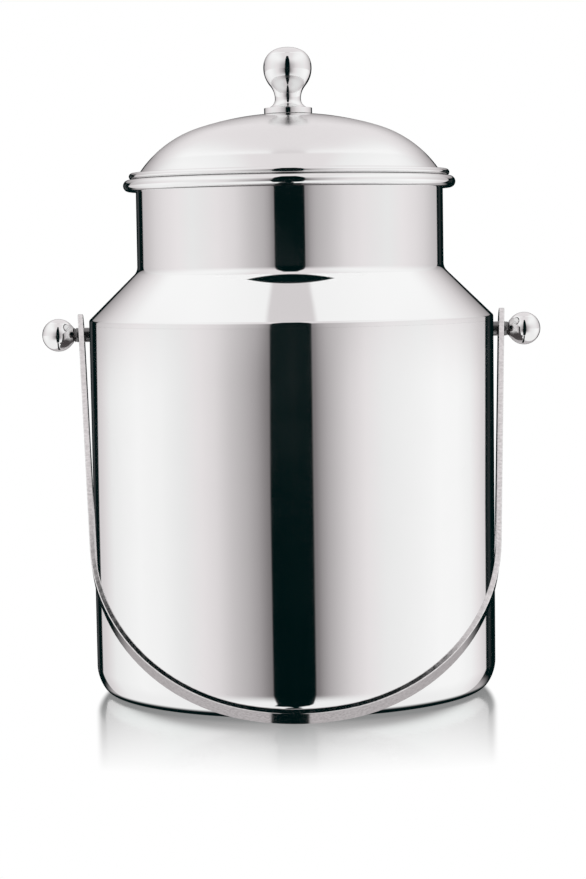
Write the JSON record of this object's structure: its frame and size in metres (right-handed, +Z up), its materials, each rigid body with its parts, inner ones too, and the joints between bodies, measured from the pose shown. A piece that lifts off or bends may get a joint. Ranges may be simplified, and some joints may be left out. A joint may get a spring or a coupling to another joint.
{
  "type": "milk can",
  "caption": "Double-walled stainless-steel milk can with a sloping shoulder, rolled rim, domed lift-off lid with a turned knob, and a flat-strip swing handle.",
  "frame": {"origin": "on the can's axis at the underside of its base, which rests on the table", "axes": "+Z up along the can's axis, -Y to the front, where the handle hangs at rest, X along the handle's pivots"},
  "size_m": [0.2224, 0.1991, 0.2848],
  "materials": {
    "polished_shell": "mirror-polished stainless steel",
    "polished_lid": "mirror-polished stainless steel",
    "polished_liner": "polished rim, fine satin inside",
    "polished_knobs": "turned and mirror polished",
    "strap_steel": "polished flat strip",
    "screw_steel": "plain bright steel",
    "satin_inside": "satin, spun lay",
    "silicone": "translucent white silicone",
    "dark_seal": "matt black"
  },
  "bodies": {
    "can": {"body_shell": "polished_shell", "shoulder_neck": "polished_shell", "base_plate": "satin_inside", "inner_liner": "polished_liner", "left_pivot_stud": "screw_steel", "right_pivot_stud": "screw_steel", "left_ball_end": "polished_knobs", "right_ball_end": "polished_knobs", "left_backing_plate": "satin_inside", "right_backing_plate": "satin_inside", "pivot_washers": "screw_steel", "pivot_nuts": "screw_steel"},
    "bail": {"bail_handle": "strap_steel"},
    "lid": {"lid_dome": "polished_lid", "lid_pan": "satin_inside", "lid_gasket": "silicone", "lid_knob": "polished_knobs", "knob_seal": "dark_seal", "knob_washer": "screw_steel", "knob_lock_washer": "screw_steel", "knob_screw": "screw_steel"}
  },
  "joints": [
    {"name": "bail_swing", "type": "hinge", "parent": "can", "child": "bail", "pos_m": [0, 0, 0.1587], "axis": [-1, 0, 0], "range_deg": [0, 292]},
    {"name": "lid_lift", "type": "slide", "parent": "can", "child": "lid", "axis": [0, 0, 1], "range_m": [0, 0.12]}
  ]
}
